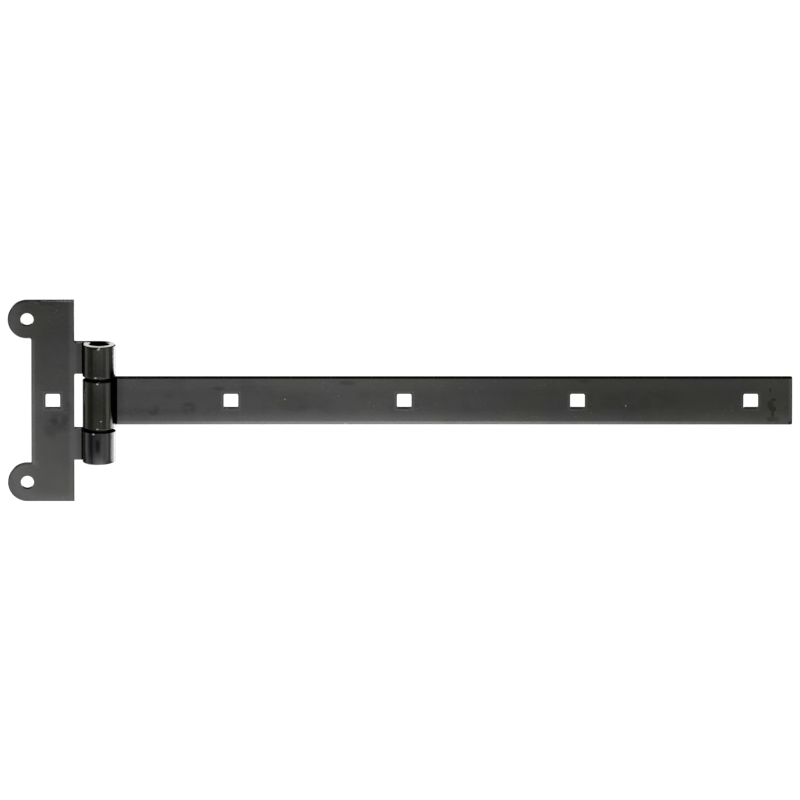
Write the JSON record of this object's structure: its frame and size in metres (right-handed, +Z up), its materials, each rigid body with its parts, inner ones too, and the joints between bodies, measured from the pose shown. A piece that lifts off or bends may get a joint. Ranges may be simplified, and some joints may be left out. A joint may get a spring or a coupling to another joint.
{
  "type": "tee hinge",
  "caption": "Black painted steel tee hinge: an eared post plate with rolled knuckles, a pin, and a long flat strap with square carriage-bolt holes that swings on it.",
  "frame": {"origin": "midway between the two ear holes of the post plate, on the back face that lies against the post", "axes": "+X along the strap away from the plate, +Y out of the back face into the post, +Z up along the pin"},
  "size_m": [0.566, 0.0242, 0.148],
  "materials": {
    "black_paint": "satin to semi-gloss black paint on steel",
    "dark_steel": "dull black steel bar"
  },
  "bodies": {
    "frame": {"frame_plate": "black_paint", "hinge_pin": "dark_steel"},
    "strap_leaf": {"strap": "black_paint"}
  },
  "joints": [
    {"name": "strap_swing", "type": "hinge", "parent": "frame", "child": "strap_leaf", "pos_m": [0.052, -0.012, 0], "axis": [0, 0, -1], "range_deg": [-110, 195]}
  ]
}
